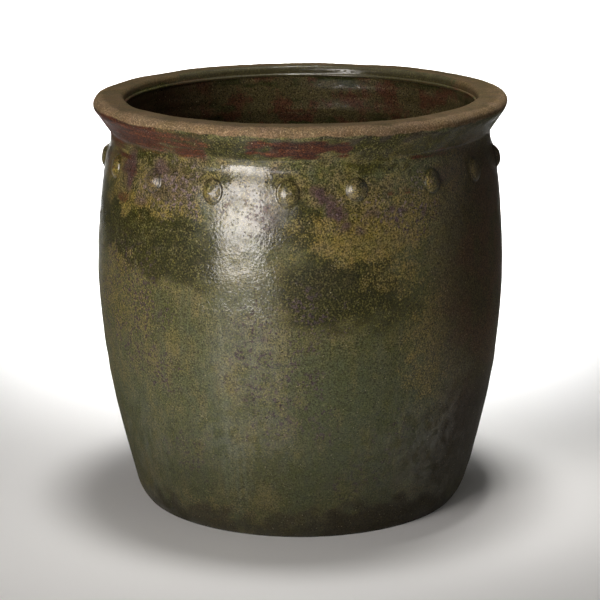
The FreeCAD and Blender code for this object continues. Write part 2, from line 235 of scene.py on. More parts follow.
DENT = 0.00035
THROWING_RING = 0.00012
LUMP = 0.00003
INNER_RING = 0.0005
LIP_WAVE = 0.00042
LIP_GRAIN = 0.00008
RIM_TILT = 0.006
TILT_FOOT = 0.4
BASE_SHIFT = 0.0012
STUD_RECESS = 0.0018
BORE_GLAZE_MIDDLE = math.radians(171)
BORE_GLAZE_HALF = math.radians(56)
BORE_GLAZE_SOFT = 0.15
BORE_GLAZE_INNER = 0.002
BORE_GLAZE_OUTER = 0.009
BORE_BLEND = 0.01
LIP_BLEND = 0.004
FOOT_BLEND = 0.012
SHIFT_FULL_FROM = 0.05
SHIFT_FULL_TO = 0.15
INSIDE_OFFSET = 1.0


def smooth_step(low, high, value):
    """0 at low, 1 at high and a soft rise between, or a fall where low is the larger."""
    share = np.clip((value - low) / (high - low), 0.0, 1.0)
    return share * share * (3 - 2 * share)


def turn_from(azimuth, start):
    """The turn from a start to an azimuth, the short way round."""
    return np.angle(np.exp(1j * (azimuth - start)))


def lip_relief(azimuth, height, across=0.0):
    """Waves and grain of the lip's clay. Across is how far out from the rim's edge a point lies."""
    return LIP_WAVE * lip_waves(azimuth, height) + LIP_GRAIN * lip_grain(azimuth, height + across)


def outer_relief(azimuth, height):
    """How far the outside stands proud of the true curve."""
    at_lip = smooth_step(SEAT_HEIGHT - LIP_BLEND, SEAT_HEIGHT + LIP_BLEND, height)
    at_foot = smooth_step(0.0, FOOT_BLEND, height)
    body = (DENT * dents(azimuth, height) + THROWING_RING * throwing(azimuth, height)
            + LUMP * lumps(azimuth, height))
    return at_foot * (body * (1 - at_lip) + lip_relief(azimuth, height) * at_lip)


def to_space(radius, height, azimuth):
    """Points of the pot from their radius, height and azimuth. The whole pot leans a little: the rim
    dips to the left and the lower body strays to the right."""
    across = radius * np.sin(azimuth)
    high = smooth_step(TILT_FOOT, SEAT_HEIGHT, height)
    low = smooth_step(0.0, SHIFT_FULL_FROM, height) * (1 - smooth_step(SHIFT_FULL_TO, BELLY_HEIGHT, height))
    return np.stack([across + BASE_SHIFT * low, -radius * np.cos(azimuth),
                     height + RIM_TILT * high * across], -1)


azimuths = np.arange(COLUMNS) * 2 * math.pi / COLUMNS
round_grid, height_grid = np.meshgrid(azimuths, outline[:, 1], indexing="ij")


# Places of the studs

STUD_RADIUS = 0.014
STUD_STAND = 0.006
STUD_HIDDEN_SHARES = (0.66, 0.84)

# Each stud as it came out: width, height, shift of its top to the right and up, stand, and flatness

STUD_SHARES = [
    (1.11, 1.16, 0.18, 0.05, 0.88, 2.3), (0.96, 1, 0.05, 0, 1.22, 1.6), (1, 1.04, -0.05, -0.05, 0.9, 1.9),
    (1.02, 1.02, -0.1, 0.1, 0.95, 2.6), (0.98, 1.05, 0.05, 0, 1.05, 2.8), (1, 1, 0.15, 0.05, 1, 2.4),
    (1.05, 0.98, 0.2, 0, 0.9, 3), (0.97, 1.03, 0.1, -0.1, 1.05, 2.6), (1.02, 1.04, -0.1, 0.05, 1, 2.8),
    (0.95, 1, 0.05, 0.1, 0.95, 2.4), (1.04, 1.06, -0.05, -0.05, 1, 3.2), (1, 0.97, 0.15, 0, 1.05, 2.6),
    (1.01, 1.05, -0.15, 0.1, 0.95, 2.5), (1, 1.08, 0.1, 0.05, 1, 2.8), (0.98, 1.06, 0, 0, 1.28, 1.5),
    (0.95, 1.1, -0.38, -0.18, 0.82, 1.5)]


class Stud:
    """Where a stud sits and how it came out."""

    def __init__(self, name, width, height, apex_across, apex_up, stand, curve):
        middle = np.mean([vertex.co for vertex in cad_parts[name].data.vertices], axis=0)
        self.name = name
        self.azimuth = math.atan2(middle[0], -middle[1])
        self.height = middle[2]
        self.half_width = STUD_RADIUS * width
        self.half_height = STUD_RADIUS * height
        self.apex = (apex_across, apex_up)
        self.stand = STUD_STAND * stand
        self.curve = curve


stud_names = sorted(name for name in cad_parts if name.startswith("stud_"))
studs = [Stud(name, *shares) for name, shares in zip(stud_names, itertools.cycle(STUD_SHARES))]


def under_studs(azimuth, height):
    """1 where the wall lies hidden behind a stud, 0 elsewhere."""
    hidden = np.zeros_like(azimuth)
    for stud in studs:
        aside = turn_from(azimuth, stud.azimuth) * BELLY_RADIUS
        reach = np.hypot(aside / stud.half_width, (height - stud.height) / stud.half_height)
        hidden = np.maximum(hidden, 1 - smooth_step(*STUD_HIDDEN_SHARES, reach))
    return hidden


def relief_grid():
    """Relief of every row: the body outside, the lip, and the throwing rings inside."""
    relief = outer_relief(round_grid, height_grid) - STUD_RECESS * under_studs(round_grid, height_grid)
    floor_start = ROWS["floor"][0]
    inside = slice(ROWS["throat_seam"][0], floor_start)
    relief[:, inside] = (INNER_RING * inner_rings(round_grid[:, inside], height_grid[:, inside])
                         + DENT * dents(round_grid[:, inside], height_grid[:, inside] + INSIDE_OFFSET))
    lip_rows = slice(ROWS["lip"][0], ROWS["lip"][1] + 1)
    relief[:, lip_rows] = lip_relief(round_grid[:, lip_rows], height_grid[:, lip_rows],
                                     outline[lip_rows, 0] - RIM_RADIUS)
    bore_rows = outline[:, 0] < CROWN_RADIUS
    bore_rows[:lip_rows.start] = False
    bore_rows[lip_rows.stop:] = False
    relief[:, bore_rows] *= smooth_step(SEAT_HEIGHT, SEAT_HEIGHT + BORE_BLEND, outline[bore_rows, 1])
    relief[:, floor_start:] = 0.0
    return relief


def build_skin():
    """Place and shading direction of every vertex that shows."""
    along = np.roll(outline, -1, 0) - np.roll(outline, 1, 0)
    along /= np.hypot(along[:, 0], along[:, 1])[:, None]
    relief = relief_grid()
    points = to_space(outline[:, 0] + relief * along[:, 1], height_grid - relief * along[:, 0], round_grid)
    along_round = np.roll(points, -1, 0) - np.roll(points, 1, 0)
    along_rows = np.roll(points, -1, 1) - np.roll(points, 1, 1)
    normals = np.cross(along_round, along_rows)
    normals /= np.linalg.norm(normals, axis=2)[..., None]
    return points, normals


skin, skin_normals = build_skin()


# Stains of the glaze, and some patches of painted shade (the inside's left wall, and part of the dark
# table): how much of the stray shifts them round and up, how soft their edges are, and their patches. Each
# patch is degrees round, height, degrees half across, half height and strength, with both heights in
# thousandths of the pot's height.

STAINS = {
    "rust": (1, 0.25, 0.4, [
        (-70, 953, 34, 37, 1.3), (-33, 935, 5, 20, 0.8), (-74, 908, 16, 7, 0.8), (-64, 887, 9, 5, 0.9),
        (-1, 963, 8, 8, 1.4), (1, 951, 9.5, 10, 2), (-2, 939, 8, 9, 1.9), (4, 930, 5, 5, 1.2),
        (-70, 880, 12, 46, 0.35), (42, 914, 9, 6, 0.8), (25.5, 845, 2, 12, 0.5), (-62, 795, 5, 10, 0.6),
        (50, 860, 5, 8, 0.5), (-57, 872, 2.5, 40, 0.5), (108, 950, 30, 28, 0.9), (165, 940, 22, 28, 1),
        (-140, 950, 26, 26, 0.9), (120, 840, 5, 50, 0.6), (-160, 830, 6, 40, 0.5)]),
    "ochre": (1, 1, 0.5, [
        (18, 750, 17, 58, 1.1), (6, 716, 8, 14, 0.5), (-52, 793, 17, 22, 0.9), (-30, 800, 7, 16, 0.6),
        (-67, 860, 8, 50, 0.8), (-49, 840, 4, 30, 0.6), (34, 800, 7, 50, 0.6), (26, 650, 8, 40, 0.55),
        (-58, 560, 16, 80, 0.35), (38, 470, 7, 130, 0.6), (52, 830, 8, 30, 0.5), (-60, 640, 8, 20, 0.5),
        (110, 760, 26, 60, 0.8), (170, 740, 30, 70, 0.9), (-125, 770, 28, 60, 0.8),
        (150, 450, 25, 150, 0.35), (-100, 450, 22, 140, 0.35)]),
    "olive": (1, 1, 0.45, [
        (-47, 712, 24, 78, 1.3), (-64, 752, 15, 55, 1.3), (-30, 680, 9, 60, 0.9), (11, 622, 18, 76, 1.2),
        (22, 580, 12, 60, 0.6), (-2, 775, 7, 48, 0.9), (-47, 905, 11, 10, 1), (-34, 962, 4, 18, 0.9),
        (19, 902, 9, 10, 0.8), (28, 892, 1.2, 14, 0.9), (-20, 950, 12, 32, 1.2), (20, 950, 11, 28, 1),
        (180, 985, 70, 30, 1.2), (44, 940, 14, 30, 0.6), (92, 620, 22, 90, 0.9), (150, 600, 26, 80, 0.9),
        (-150, 640, 26, 80, 0.9), (-105, 680, 18, 70, 0.7)]),
    "warm": (1, 1, 0.4, [
        (-50, 855, 34, 70, 1), (50, 860, 8, 30, 0.6), (14, 840, 12, 50, 0.8), (32, 830, 10, 30, 0.6),
        (-8, 860, 12, 60, 0.9), (30, 945, 26, 30, 0.9), (-18, 945, 9, 10, 0.4), (60, 860, 20, 80, 0.7),
        (110, 850, 34, 75, 1), (170, 860, 34, 70, 0.9), (-120, 850, 36, 70, 1), (-30, 60, 14, 30, 0.5)]),
    "mauve": (1, 1, 0.5, [
        (-36, 830, 8, 55, 1), (-46, 850, 5, 50, 0.8), (14, 800, 8, 50, 0.5), (29, 785, 10, 40, 1.1),
        (-34, 925, 5, 18, 0.7), (34, 855, 5, 30, 0.5), (-13, 790, 6, 60, 0.8), (-58, 560, 18, 130, 1),
        (-46, 560, 7, 60, 1), (-56, 440, 10, 60, 0.9), (-41, 400, 5, 50, 0.9), (-12, 480, 7, 140, 0.9),
        (-1, 420, 5, 120, 0.8), (5, 580, 5, 60, 0.8), (-8, 320, 7, 60, 0.8), (6, 300, 5, 50, 0.8),
        (28, 270, 5, 60, 0.7), (18, 160, 8, 50, 0.6), (-36, 200, 8, 60, 0.6), (64, 800, 12, 120, 0.7),
        (60, 550, 20, 200, 0.4), (110, 800, 16, 70, 0.8), (165, 550, 26, 160, 0.6),
        (-140, 820, 14, 60, 0.8), (-120, 500, 24, 160, 0.6)]),
    "wash": (0.35, 0.35, 0.5, [
        (-57, 862, 2.6, 45, 1.2), (-43, 880, 3, 16, 0.9), (-50, 800, 3, 14, 0.6), (-40, 850, 9, 40, 0.45),
        (3.5, 854, 1.7, 14, 0.9), (5.4, 840, 1.8, 15, 1.1), (7.2, 826, 1.8, 15, 1.1),
        (8.8, 811, 1.7, 15, 1.1), (10.4, 795, 1.7, 15, 1), (12.5, 772, 1.6, 14, 0.9),
        (26, 806, 1.6, 8, 1.2), (29.5, 797, 1.2, 7, 1.2), (24, 790, 1, 6, 1.1), (33, 806, 1.2, 6, 1.1),
        (27.5, 780, 1, 6, 1.1), (36, 792, 1.1, 6, 1), (20, 800, 2, 12, 0.6), (17, 760, 1.5, 8, 0.7),
        (-9, 790, 4, 30, 0.6), (-31, 925, 3, 20, 0.8), (-8, 900, 2.5, 10, 0.6), (46, 870, 6, 12, 0.6),
        (112, 830, 12, 50, 0.8), (-140, 840, 12, 50, 0.8), (175, 820, 8, 40, 0.8)]),
    "dusk": (0, 0, 0.5, [
        (69, 640, 28, 300, 1), (72, 900, 18, 70, 0.4), (66, 300, 20, 160, 0.8), (140, 600, 16, 180, 0.7),
        (-165, 620, 14, 160, 0.7)]),
    "speck": (0, 0, 0.5, [
        (31.5, 578, 2.5, 26, 1), (36.5, 515, 2.5, 20, 1), (38, 455, 2, 26, 1), (35, 390, 4.5, 34, 1),
        (40, 300, 6, 60, 0.6), (-14, 830, 6, 60, 0.5), (-22, 870, 3, 20, 1), (-7, 880, 3, 25, 1),
        (130, 450, 10, 100, 0.8), (-150, 500, 10, 100, 0.8)]),
    "green": (1, 1, 0.45, [
        (10, 300, 14, 200, 0.9), (24, 250, 14, 160, 0.8), (-26, 300, 5, 220, 0.8), (46, 950, 12, 20, 0.5),
        (-50, 240, 22, 160, 0.5), (3, 140, 6, 60, 0.8), (-40, 110, 14, 50, 0.5), (130, 300, 34, 180, 0.8),
        (-130, 280, 36, 180, 0.8), (70, 952, 10, 30, 0.7), (-175, 952, 12, 30, 0.8)]),
    # Partly painted shade: under the lip at (24, 975) and low on the right, away from the key, at (73,
    # 180); the others darken the bottom band and a few glaze patches
    "dark": (1, 1, 0.5, [
        (73, 180, 38, 170, 0.9), (24, 975, 34, 7, 0.9), (32, 30, 34, 60, 1), (-2, 22, 19, 46, 0.65),
        (-42, 22, 28, 46, 0.7), (8, 650, 8, 40, 0.35), (170, 30, 80, 60, 0.9), (130, 450, 12, 120, 0.4)]),
    "dry": (1, 0, 0.5, [
        (-84, 300, 28, 360, 1), (80, 330, 32, 400, 1), (170, 300, 24, 260, 0.6), (-82, 930, 26, 30, 1),
        (82, 925, 22, 40, 1)]),
    # Painted shade inside the pot: strong on the left wall, which the key light doesn't reach, weak on the
    # right
    "inner_painted_shade": (1, 1, 0.6, [(-116, 900, 34, 200, 0.92), (124, 900, 34, 200, 0.35)]),
    "drip": (0.06, 1, 0.45, [
        (-19.5, 180, 0.8, 100, 1), (-17.3, 190, 0.6, 100, 0.9), (-21.5, 330, 0.9, 260, 0.7),
        (-23.5, 160, 0.7, 80, 0.7), (-14, 270, 0.5, 100, 0.3), (150, 220, 0.9, 110, 0.8),
        (-130, 200, 0.8, 100, 0.8)])}
PATCH_CURVE = 2.6
STAIN_STRAY_DEGREES = 2.0
STAIN_STRAY_HEIGHT = 0.0055


def patch_mask(patches, azimuth, height, softness):
    """The strongest of several soft-edged patches at each point."""
    mask = np.zeros_like(azimuth)
    for degrees, middle, half_degrees, half_height, strength in patches:
        aside = np.degrees(turn_from(azimuth, math.radians(degrees))) / half_degrees
        above = (height / POT_HEIGHT - middle / 1000) / (half_height / 1000)
        reach = (np.abs(aside) ** PATCH_CURVE + np.abs(above) ** PATCH_CURVE) ** (1 / PATCH_CURVE)
        mask = np.maximum(mask, strength * (1 - smooth_step(1 - softness, 1 + softness, reach)))
    return mask


def stains(azimuth, height):
    """Every stain of the glaze, and every patch of painted shade, at each point."""
    stray = math.radians(STAIN_STRAY_DEGREES) * stain_round(azimuth, height)
    lift = STAIN_STRAY_HEIGHT * stain_up(azimuth, height)
    return {name: patch_mask(patches, azimuth + round_share * stray, height + up_share * lift, softness)
            for name, (round_share, up_share, softness, patches) in STAINS.items()}


def new_object(name, data):
    """An object in the scene."""
    item = bpy.data.objects.new(name, data)
    bpy.context.scene.collection.objects.link(item)
    return item


def new_piece(name, points, faces, values, slot, normals=None):
    """A mesh piece that stands for the node of the same name and rides on the body."""
    mesh = bpy.data.meshes.new(name)
    mesh.from_pydata(points, [], faces, shade_flat=False)
    mesh.validate()
    for kind, numbers in values.items():
        attribute = mesh.attributes.new(kind, "FLOAT", "POINT")
        attribute.data.foreach_set("value", np.ravel(numbers).astype(np.float32))
    if normals is not None:
        mesh.normals_split_custom_set_from_vertices(normals)
    mesh.materials.append(materials[slot])
    piece = new_object(f"{name}_skin", mesh)
    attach(piece, "root")
    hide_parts(name)


def ring_faces(rows):
    """Quads of a course's skin, which closes round the pot and round its section, seen from outside."""
    column = np.arange(COLUMNS)[:, None]
    row = np.arange(rows)[None]
    beside = (column + 1) % COLUMNS
    above = (row + 1) % rows
    corners = [column * rows + row, beside * rows + row, beside * rows + above, column * rows + above]
    return np.stack([np.broadcast_to(corner, (COLUMNS, rows)) for corner in corners], -1).reshape(-1, 4)


def joint_block(section):
    """Points, shading directions, azimuths and heights of a joint's hidden ring, all marked as inside."""
    section = np.array(section)
    azimuth = np.repeat(azimuths[:, None], len(section), 1)
    points = to_space(section[None, :, 0] + 0 * azimuth, section[None, :, 1], azimuth)
    upward = np.zeros_like(points)
    upward[..., 2] = 1.0
    return points, upward, azimuth, points[..., 2], np.ones(azimuth.shape, dtype=bool)


def ridge(middle, seam):
    """Section of the ridge on top of a course."""
    half = RIDGE_WIDTH / 2
    return [(middle + half, seam), (middle + half, seam + RIDGE_HEIGHT),
            (middle - half, seam + RIDGE_HEIGHT), (middle - half, seam)]


def groove(middle, seam):
    """Section of the groove that a course has for the ridge below."""
    half = RIDGE_WIDTH / 2 + RIDGE_SLIP
    roof = seam + RIDGE_HEIGHT + RIDGE_SLIP
    return [(middle - half, seam), (middle - half, roof), (middle + half, roof), (middle + half, seam)]


def make_course(name, outside, top_joint, inside, bottom_joint, slot):
    """One course: its rows outside, the joint on top, its rows inside and the joint below."""
    blocks = []
    for part in (outside, top_joint, inside, bottom_joint):
        if isinstance(part, tuple):
            rows = np.arange(part[0], part[1] + 1) % len(outline)
            blocks.append((skin[:, rows], skin_normals[:, rows], round_grid[:, rows], height_grid[:, rows],
                           np.repeat((rows > ROWS["lip"][1])[None], COLUMNS, 0)))
        elif part:
            blocks.append(joint_block(part))
    points, normals, azimuth, height, inner = [np.concatenate(group, 1) for group in zip(*blocks)]
    values = stains(azimuth, height)
    values["inside"] = inner
    reach = np.hypot(points[..., 0], points[..., 1])
    values["edge"] = smooth_step(CROWN_RADIUS - LIP_ROLL, RIM_RADIUS - LIP_EDGE_WEAR, reach)
    aside = np.abs(turn_from(azimuth, BORE_GLAZE_MIDDLE))
    behind = smooth_step(BORE_GLAZE_HALF + BORE_GLAZE_SOFT, BORE_GLAZE_HALF - BORE_GLAZE_SOFT, aside)
    within = smooth_step(LIP_BORE + BORE_GLAZE_OUTER, LIP_BORE + BORE_GLAZE_INNER, reach)
    values["bore"] = np.where(inner, 0.0, behind * within)
    faces = ring_faces(points.shape[1])
    new_piece(name, points.reshape(-1, 3), faces, values, slot, normals.reshape(-1, 3))


# Materials. Each noise has its scale in waves to the metre, its detail and its roughness.

NOISES = {
    "fine": (620, 1, 0.5), "grit": (560, 1, 0.5), "grain": (440, 1, 0.5), "crumbs": (400, 2, 0.6),
    "ripple": (300, 2, 0.6), "blobs": (225, 1, 0.5), "bands": (190, 3, 0.6), "clay_bands": (170, 3, 0.6),
    "swells": (120, 1, 0.5), "medium": (105, 3, 0.6), "runs": (75, 3, 0.6), "wear": (64, 3, 0.6),
    "bore_edge": (60, 3, 0.6), "blob_clusters": (48, 2, 0.6), "inner_moss": (42, 2, 0.6),
    "blotches": (38, 3, 0.6), "glaze_edge": (34, 3, 0.6), "pit_clusters": (34, 2, 0.5),
    "waves": (30, 2, 0.5), "inner_rust": (26, 3, 0.6), "broad": (22, 3, 0.55), "floor": (3, 2, 0.5)}
NOISE_STRETCHES = {
    "runs": (1, 1, 0.14), "bands": (0.1, 0.1, 1), "clay_bands": (0.12, 0.12, 1),
    "inner_moss": (0.35, 0.35, 1)}
HUE_SCALE = 70
GRAIN_HUE_SCALE = 520
CLAY_HUE_SCALE = 46
PIT_SCALE = 170
SPECK_SCALE = 210
FLECK_SCALE = 280
CHIP_SCALE = 120


class Tree:
    """A material and a short way to write its nodes. A value or a node's output can go into any input."""

    def __init__(self, name):
        self.material = bpy.data.materials.new(name)
        self.material.use_nodes = True
        self.material.node_tree.nodes.clear()
        self.place = self.add("TexCoord").outputs["Object"]
        self.height = self.add("SeparateXYZ", {0: self.place}).outputs["Z"]

    def add(self, kind, inputs=(), **settings):
        node = self.material.node_tree.nodes.new(f"ShaderNode{kind}")
        for name, setting in settings.items():
            setattr(node, name, setting)
        for key, given in dict(inputs).items():
            socket = node.inputs[key]
            if isinstance(given, bpy.types.NodeSocket):
                self.material.node_tree.links.new(given, socket)
            elif given is not None:
                socket.default_value = (*given, 1.0) if socket.type == "RGBA" else given
        return node

    def sum(self, operation, *terms, clamp=False):
        return self.add("Math", enumerate(terms), operation=operation, use_clamp=clamp).outputs[0]

    def times(self, first, second, clamp=False):
        return self.sum("MULTIPLY", first, second, clamp=clamp)

    def most(self, first, *others):
        for other in others:
            first = self.sum("MAXIMUM", first, other)
        return first

    def times_plus(self, first, second, third):
        """The first times the second, plus the third."""
        return self.sum("MULTIPLY_ADD", first, second, third)

    def mixed(self, first, share, second):
        """Two noises mixed, share of the first."""
        return self.times_plus(first, share, self.times(second, 1 - share))

    def hues(self, scale, red, blue):
        """A factor near white that strays in hue, by so much in red and in blue."""
        noise = self.add("TexNoise", {"Vector": self.place, "Scale": scale, "Detail": 1.5})
        inputs = {0: noise.outputs["Color"], 1: (red, 0, blue), 2: (1 - red / 2, 1, 1 - blue / 2)}
        return self.add("VectorMath", inputs, operation="MULTIPLY_ADD").outputs[0]

    def mask(self, name):
        """One of the values that the mesh holds at each point."""
        return self.add("Attribute", attribute_name=name).outputs["Fac"]

    def noise(self, kind):
        """One of the noises of the table above."""
        scale, detail, roughness = NOISES[kind]
        place = self.scaled(self.place, NOISE_STRETCHES[kind]) if kind in NOISE_STRETCHES else self.place
        inputs = {"Vector": place, "Scale": scale, "Detail": detail, "Roughness": roughness}
        return self.add("TexNoise", inputs).outputs["Fac"]

    def cells(self, scale):
        return self.add("TexVoronoi", {"Vector": self.place, "Scale": scale}).outputs["Distance"]

    def scaled(self, vector, factors):
        return self.add("VectorMath", {0: vector, 1: factors}, operation="MULTIPLY").outputs[0]

    def shaded(self, tint, factor):
        return self.add("VectorMath", {0: tint, "Scale": factor}, operation="SCALE").outputs[0]

    def step(self, value, low, high):
        inputs = {"Value": value, "From Min": low, "From Max": high}
        return self.add("MapRange", inputs, interpolation_type="SMOOTHSTEP").outputs["Result"]

    def blend(self, share, first, second):
        return self.add("Mix", {"Factor": share, 6: first, 7: second}, data_type="RGBA").outputs[2]

    def layered(self, tint, *layers):
        """A tint with others laid over it, each given as its share and its tint."""
        for share, layer in layers:
            tint = self.blend(share, tint, layer)
        return tint

    def bump(self, height, distance, normal=None):
        inputs = {"Height": height, "Distance": distance, "Normal": normal}
        return self.add("Bump", inputs).outputs["Normal"]


# Colours of the glaze, and pairs of them that a noise mixes

WHITE = (1, 1, 1)
BASE = ((0.05, 0.052, 0.017), (0.088, 0.076, 0.028))
LICHEN = (0.061, 0.061, 0.026)
GREEN = (0.046, 0.052, 0.021)
OLIVE = ((0.019, 0.018, 0.003), (0.071, 0.064, 0.018))
WARM = ((0.04, 0.034, 0.011), (0.108, 0.088, 0.033))
OCHRE = ((0.08, 0.064, 0.018), (0.122, 0.094, 0.028))
# Dark mauve for low down, and a paler one that paints a sheen on the shoulder
MAUVE_AND_SHEEN = ((0.05, 0.035, 0.038), (0.112, 0.083, 0.082))
PURPLE = (0.052, 0.032, 0.028)
RUST_DARK = (0.022, 0.01, 0.007)
RUST_RED = (0.046, 0.014, 0.006)
RUST_LIGHT = (0.076, 0.028, 0.011)
# Umber, also laid as painted shade under the lip and low on the right side away from the key
UMBER_AND_SHADE = (0.026, 0.02, 0.012)
DUSK = ((0.068, 0.042, 0.021), (0.057, 0.044, 0.019))
DRIP = (0.085, 0.092, 0.056)
FLECK = (0.175, 0.155, 0.095)
# Dark of the pinholes, also laid round the studs as painted shade
PIT_AND_STUD_SHADE = (0.01, 0.008, 0.005)
BORE_TAN = (0.066, 0.056, 0.03)
# Colour of the painted shade on the inside's left wall
INNER_SHADE_BROWN = (0.019, 0.01, 0.005)
INNER_GREEN = (0.03, 0.033, 0.011)
INNER_OLIVE = (0.074, 0.061, 0.026)
INNER_RUST = (0.078, 0.034, 0.018)
INNER_PALE = (0.13, 0.102, 0.052)

# Heights from which and to which the glaze changes

FOOT_DARKENS = (0.2, 0.07)
GRAIN_COARSENS = (0.1, 0.24)
GLOSS_FALLS = (0.34, 0.16)
HUES_GROW = (0.34, 0.41)
PEEL_GROWS = (0.47, 0.38)
NECK_SMOOTHS = (0.4, 0.44)
# Where the mauve turns paler: a painted sheen on the shoulder
VIOLET_SHEEN_RISES = (0.43, 0.455)
COLLAR_DULLS = (CREASE_HEIGHT - 0.001, CREASE_HEIGHT + 0.004)
BEAD_SHINES = (SEAT_HEIGHT + 0.016, SEAT_HEIGHT + 0.008)

# Relief that only the shading has

SWELL_DEPTH = 0.00014
RIPPLE_DEPTH = 0.0005
PIT_DEPTH = -0.0003


class GlazeNoise:
    """The noises and shares that the glaze's colour, gloss and relief have in common."""

    def __init__(self, tree):
        for kind in ("fine", "grain", "ripple", "medium", "broad", "runs"):
            setattr(self, kind, tree.noise(kind))
        self.streaks = tree.mixed(tree.noise("bands"), 0.74, self.grain)
        self.stipple = tree.mixed(self.medium, 0.62, self.grain)
        self.sprinkle = tree.mixed(self.medium, 0.34, self.grain)
        self.soft = tree.mixed(self.broad, 0.7, self.grain)
        self.smooth_neck = tree.step(tree.height, *NECK_SMOOTHS)
        self.mauve = mauve_share(tree)
        self.wash = tree.times(tree.mask("wash"), tree.step(self.stipple, 0.32, 0.54), clamp=True)
        self.pits = pit_share(tree)


def mauve_share(tree):
    """Grey-violet blobs that gather in clusters."""
    blobs = tree.step(tree.noise("blobs"), 0.54, 0.61)
    clusters = tree.step(tree.noise("blob_clusters"), 0.36, 0.54)
    return tree.times(tree.times(blobs, clusters), tree.times(tree.mask("mauve"), 1.2), clamp=True)


def pit_share(tree):
    """Pinholes, thicker in some places than in others, and the dark specks."""
    crowded = tree.step(tree.noise("pit_clusters"), 0.42, 0.56)
    holes = tree.times(tree.step(tree.cells(PIT_SCALE), 0.17, 0.1), crowded)
    specks = tree.step(tree.cells(SPECK_SCALE), 0.32, 0.2)
    return tree.most(holes, tree.times(specks, tree.mask("speck")))


def torn(tree, name, rough, reach, soft):
    """A stain's mask with its edge torn by a noise."""
    mask = tree.mask(name)
    ragged = tree.times_plus(tree.sum("SUBTRACT", rough, 0.5), reach, mask)
    return tree.times(tree.step(ragged, 0.5 - soft, 0.5 + soft), tree.step(mask, 0.0, 0.25))


def outer_tint(tree, noise):
    """Colour of the glaze outside, before its grain, with a painted sheen on the shoulder's mauve and
    painted shade in part of the dark patches.
    """
    tint = tree.layered(
        tree.blend(tree.step(noise.soft, 0.4, 0.6), *BASE),
        (tree.step(noise.runs, 0.46, 0.7), LICHEN),
        (tree.times(tree.mask("green"), tree.step(noise.runs, 0.2, 0.55)), GREEN))
    for name, rough, reach, soft, low, high, shades in (
            ("warm", noise.stipple, 3.0, 0.4, 0.42, 0.58, WARM),
            ("olive", noise.sprinkle, 2.4, 0.46, 0.46, 0.7, OLIVE),
            ("ochre", noise.sprinkle, 2.4, 0.46, 0.36, 0.62, OCHRE)):
        stain = tree.blend(tree.step(rough, low, high), *shades)
        tint = tree.blend(torn(tree, name, rough, reach, soft), tint, stain)
    lively = tree.times_plus(tree.step(tree.height, *HUES_GROW), 0.55, 0.45)
    tint = tree.scaled(tint, tree.blend(lively, WHITE, tree.hues(HUE_SCALE, 0.3, 1.1)))
    rust = tree.layered(RUST_DARK, (tree.step(noise.streaks, 0.4, 0.54), RUST_RED),
                        (tree.step(noise.streaks, 0.54, 0.66), RUST_LIGHT))
    dusk = tree.blend(tree.step(noise.broad, 0.4, 0.6), *DUSK)
    return tree.layered(
        tint,
        (noise.wash, PURPLE),
        # Mauve blobs: dark low down, paler on the shoulder as a painted sheen
        (tree.times(noise.mauve, 0.9), tree.blend(tree.step(tree.height, *VIOLET_SHEEN_RISES), *MAUVE_AND_SHEEN)),
        (torn(tree, "rust", noise.streaks, 4.0, 0.55), rust),
        (torn(tree, "dusk", noise.stipple, 0.8, 0.5), dusk),
        # Umber patches, partly painted shade under the lip and low on the right
        (tree.times(torn(tree, "dark", noise.stipple, 1.0, 0.5), 0.85), UMBER_AND_SHADE),
        (tree.times(tree.mask("drip"), 0.5), DRIP))


def inner_tint(tree, noise):
    """Colour of the glaze inside, before its grain, with painted shade over the inside's left wall."""
    rusty = tree.mixed(tree.noise("inner_rust"), 0.7, noise.stipple)
    mossy = tree.mixed(tree.noise("inner_moss"), 0.7, noise.stipple)
    return tree.layered(
        INNER_OLIVE,
        (tree.step(rusty, 0.48, 0.57), INNER_RUST),
        (tree.times(tree.step(noise.streaks, 0.52, 0.68), 0.6), INNER_PALE),
        (tree.step(mossy, 0.52, 0.6), INNER_GREEN),
        # Painted shade: the inside's left wall darkened, the right a little
        (tree.times(tree.mask("inner_painted_shade"), 0.9), INNER_SHADE_BROWN))


def glaze_tint(tree, noise):
    """Colour of the glaze with its flecks, grain, darker foot, pits, painted shade with darker pooled glaze
    round the studs, and the glazed bore.
    """
    tint = tree.blend(tree.mask("inside"), outer_tint(tree, noise), inner_tint(tree, noise))
    flecks = tree.step(tree.cells(FLECK_SCALE), 0.23, 0.13)
    tint = tree.blend(tree.times(flecks, tree.step(noise.medium, 0.5, 0.64)), tint, FLECK)
    grain_reach = tree.times_plus(tree.step(tree.height, *GRAIN_COARSENS), 0.5, 1.7)
    grain_reach = tree.times_plus(noise.smooth_neck, 0.6, grain_reach)
    grain = tree.sum("SUBTRACT", tree.sum("ADD", noise.fine, noise.grain), 1.0)
    tint = tree.shaded(tint, tree.most(tree.times_plus(grain, grain_reach, 1.0), 0.3))
    tint = tree.scaled(tint, tree.hues(GRAIN_HUE_SCALE, 0.22, 0.9))
    tint = tree.shaded(tint, tree.times_plus(tree.step(tree.height, *FOOT_DARKENS), -0.25, 1.0))
    # Pits darken, and round each stud's foot a painted shade with darker pooled glaze
    return tree.layered(tint, (tree.times(noise.pits, 0.8), PIT_AND_STUD_SHADE), (tree.times(tree.mask("rim"), 0.45), PIT_AND_STUD_SHADE),
                        (tree.times(tree.mask("bore"), 0.55), BORE_TAN))


